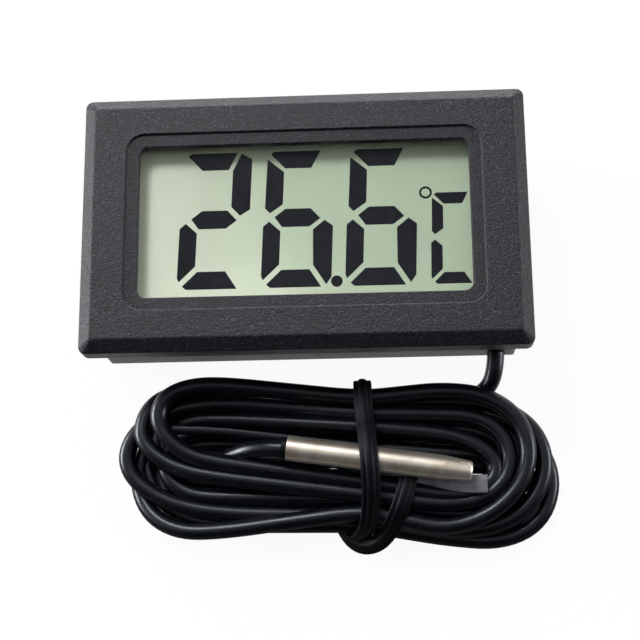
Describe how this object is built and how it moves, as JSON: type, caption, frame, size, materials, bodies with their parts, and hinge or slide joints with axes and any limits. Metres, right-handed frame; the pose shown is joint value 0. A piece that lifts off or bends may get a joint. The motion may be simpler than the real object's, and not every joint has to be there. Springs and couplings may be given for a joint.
{
  "type": "darkroom thermometer",
  "caption": "Panel-mount digital thermometer with a liquid crystal display, sliding battery door, snap clips and a metal probe on a thin cord tied in a hank.",
  "frame": {"origin": "under the middle of the case, on the surface that the case's back lies on", "axes": "+X to the display's right, +Y to its top, +Z out of the display"},
  "size_m": [0.0515, 0.05, 0.0152],
  "materials": {
    "case_plastic": "spark textured, satin",
    "display_film": "clear satin film",
    "display_glass": "clear",
    "display_reflector": "pale green, satin",
    "display_segment": "dark",
    "resin": "cured drop",
    "elastomer": "matt",
    "pale_plastic": "moulded",
    "board_laminate": "solder resist",
    "plated_steel": "bright",
    "chip_ceramic": "matt",
    "cord_sheath": "smooth, soft sheen",
    "glue": "hot-melt",
    "wire_white": "smooth",
    "tie_plastic": "ribbed",
    "probe_metal": "nickel plated, bright",
    "bead_glass": "glass bead"
  },
  "bodies": {
    "casing": {"front_bezel": "case_plastic", "rear_housing": "case_plastic", "front_polariser": "display_film", "front_glass": "display_glass", "edge_seal": "resin", "rear_glass": "display_glass", "reflector": "display_reflector", "display_segments": "display_segment", "zebra_strip_upper": "elastomer", "zebra_strip_lower": "elastomer", "display_carrier": "pale_plastic", "circuit_board": "board_laminate", "controller_blob": "resin", "crystal_can": "plated_steel", "chip_resistors": "chip_ceramic", "chip_capacitors": "chip_ceramic", "positive_spring": "plated_steel", "negative_spring": "plated_steel", "button_cell_left": "plated_steel", "button_cell_right": "plated_steel", "cable_end": "cord_sheath", "cable_anchor": "glue", "lead_wire_black": "cord_sheath", "lead_wire_white": "wire_white", "cord_lead": "cord_sheath", "cord_hank": "cord_sheath", "cord_tail": "cord_sheath", "tie_band": "tie_plastic", "tie_tail": "tie_plastic", "probe_tube": "probe_metal", "probe_sleeve": "cord_sheath", "probe_potting": "resin", "thermistor_bead": "bead_glass", "thermistor_leads": "plated_steel"},
    "battery_door": {"battery_door": "case_plastic", "bridge_contact": "plated_steel"},
    "left_clip": {"left_clip": "case_plastic"},
    "right_clip": {"right_clip": "case_plastic"}
  },
  "joints": [
    {"name": "battery_door_slide", "type": "slide", "parent": "casing", "child": "battery_door", "axis": [0, 1, 0], "range_m": [0, 0.02]},
    {"name": "left_clip_flex", "type": "hinge", "parent": "casing", "child": "left_clip", "pos_m": [-0.02215, 0, 0.0022], "axis": [0, 1, 0], "range_deg": [0, 7.5], "stiffness_Nm_per_rad": 0.02},
    {"name": "right_clip_flex", "type": "hinge", "parent": "casing", "child": "right_clip", "pos_m": [0.02215, 0, 0.0022], "axis": [0, -1, 0], "range_deg": [0, 7.5], "stiffness_Nm_per_rad": 0.02}
  ]
}
